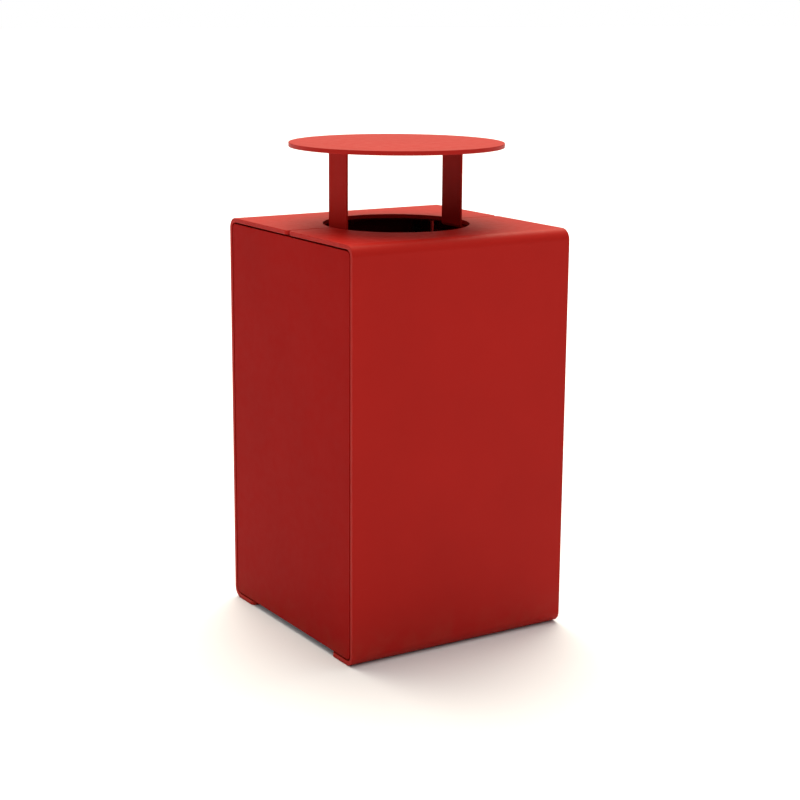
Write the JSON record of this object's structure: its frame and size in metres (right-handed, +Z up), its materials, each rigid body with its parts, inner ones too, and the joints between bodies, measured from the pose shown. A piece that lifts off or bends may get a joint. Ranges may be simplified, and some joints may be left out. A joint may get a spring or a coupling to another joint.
{
  "type": "waste bin",
  "caption": "Square outdoor dog waste bin of bent red plate with a flat round roof on posts, a pivot door and a lift-out liner.",
  "frame": {"origin": "on the ground at the middle of the body", "axes": "+Z up, front shell towards -Y, door on the +X side"},
  "size_m": [0.455, 0.455, 0.898],
  "materials": {
    "red_shell": "satin red powder coat",
    "red_panel": "satin red powder coat",
    "red_roof": "satin red powder coat",
    "red_frame": "thin red powder coat",
    "zinc_sheet": "galvanised, dull",
    "zinc_liner": "galvanised with a faint spangle",
    "zinc_fastener": "black zinc plate",
    "steel_bar": "plain drawn steel",
    "brass_core": "machined, slightly dull",
    "nylon_black": "moulded nylon",
    "rubber_black": "matt rubber"
  },
  "bodies": {
    "root": {"front_shell": "red_shell", "back_shell": "red_shell", "front_shell_studs": "zinc_fastener", "back_shell_studs": "zinc_fastener", "shell_nuts": "zinc_fastener", "base_tray": "zinc_sheet", "top_panel": "red_frame", "upright_front_left": "red_frame", "upright_front_right": "red_frame", "upright_back_left": "red_frame", "upright_back_right": "red_frame", "left_side_panel": "red_panel", "side_panel_studs": "zinc_fastener", "side_panel_spacers": "zinc_fastener", "side_panel_nuts": "zinc_fastener", "roof_disc": "red_roof", "left_post": "red_roof", "right_post": "red_roof", "roof_studs": "zinc_fastener", "roof_nuts": "zinc_fastener", "post_studs": "zinc_fastener", "post_nuts": "zinc_fastener", "upper_hinge_bush": "nylon_black", "lower_hinge_bush": "nylon_black", "lock_keeper": "zinc_sheet", "keeper_screws": "zinc_fastener", "door_buffers": "rubber_black"},
    "door": {"door_panel": "red_panel", "door_hinge_stile": "red_panel", "door_lock_stile": "red_panel", "upper_hinge_lug": "red_panel", "lower_hinge_lug": "red_panel", "upper_hinge_pin": "steel_bar", "lower_hinge_pin": "steel_bar", "lock_housing": "steel_bar", "lock_nut": "steel_bar"},
    "lock": {"lock_core": "brass_core", "lock_cam": "zinc_fastener", "cam_screw": "zinc_fastener"},
    "liner": {"liner": "zinc_liner", "left_handle_eyes": "zinc_liner", "right_handle_eyes": "zinc_liner"},
    "left_handle": {"left_handle": "steel_bar"},
    "right_handle": {"right_handle": "steel_bar"}
  },
  "joints": [
    {"name": "door_hinge", "type": "hinge", "parent": "root", "child": "door", "pos_m": [0.219, 0.1985, 0.375], "axis": [0, 0, 1], "range_deg": [0, 110]},
    {"name": "lock_turn", "type": "hinge", "parent": "door", "child": "lock", "pos_m": [0.215, -0.175, 0.4], "axis": [-1, 0, 0], "range_deg": [0, 90]},
    {"name": "liner_lift", "type": "slide", "parent": "root", "child": "liner", "axis": [0, 0, 1], "range_m": [0, 0.02]},
    {"name": "left_handle_swing", "type": "hinge", "parent": "liner", "child": "left_handle", "pos_m": [-0.179, 0, 0.5593], "axis": [0, 1, 0], "range_deg": [0, 100]},
    {"name": "right_handle_swing", "type": "hinge", "parent": "liner", "child": "right_handle", "pos_m": [0.179, 0, 0.5593], "axis": [0, -1, 0], "range_deg": [0, 100]}
  ]
}
